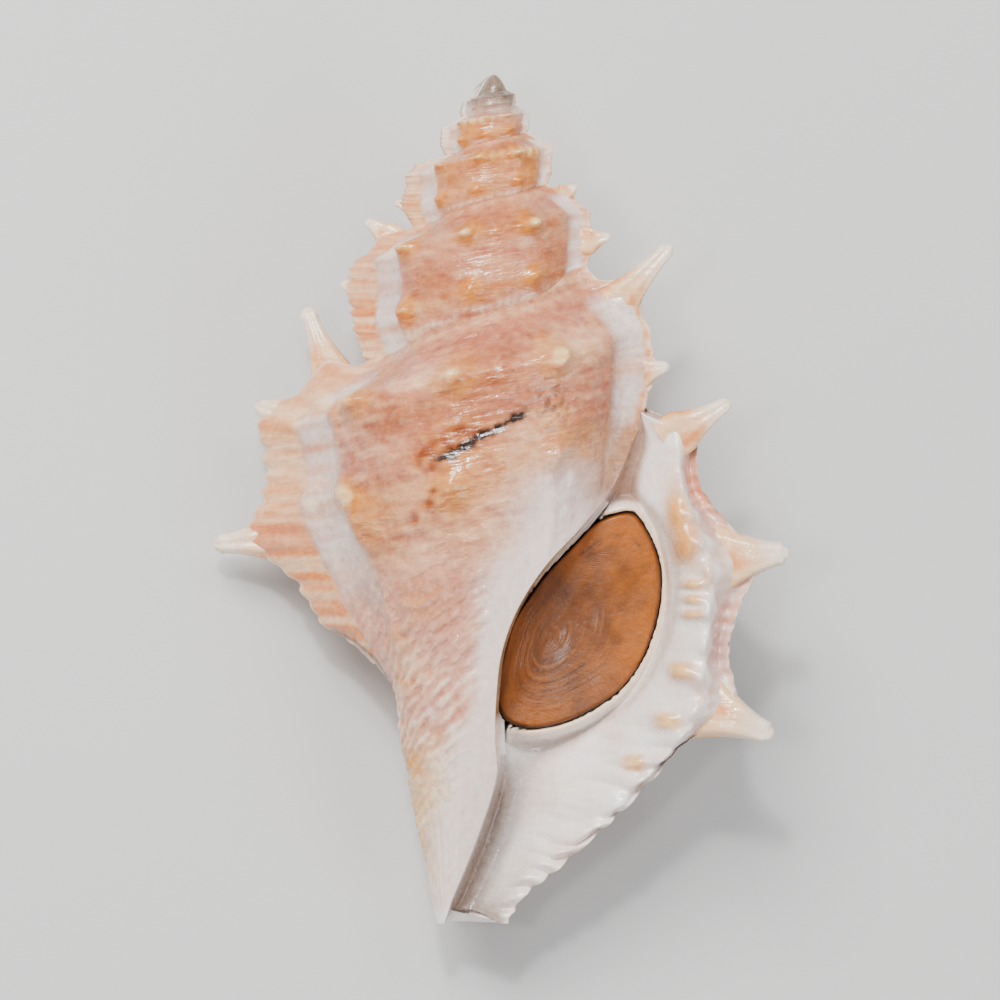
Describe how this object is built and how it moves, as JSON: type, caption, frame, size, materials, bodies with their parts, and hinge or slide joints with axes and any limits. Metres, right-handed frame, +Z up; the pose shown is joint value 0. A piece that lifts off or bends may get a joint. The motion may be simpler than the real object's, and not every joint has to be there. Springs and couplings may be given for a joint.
{
  "type": "frog shell",
  "caption": "Spiral sea shell with spiny side ridges, nodules, a toothed outer lip, an open canal and a horny operculum in its mouth, lying on its back.",
  "frame": {"origin": "middle of the bounding box at its base, on the surface the shell lies on", "axes": "+Y from the end of the siphonal canal to the apex, +Z up, out of the aperture, as the shell lies on its back"},
  "size_m": [0.049, 0.0748, 0.0258],
  "materials": {
    "shell": "glossy, cream with tan and pink blotches",
    "operculum": "horny, amber brown with growth rings"
  },
  "bodies": {
    "root": {"shell": "shell", "operculum": "operculum"}
  },
  "joints": []
}
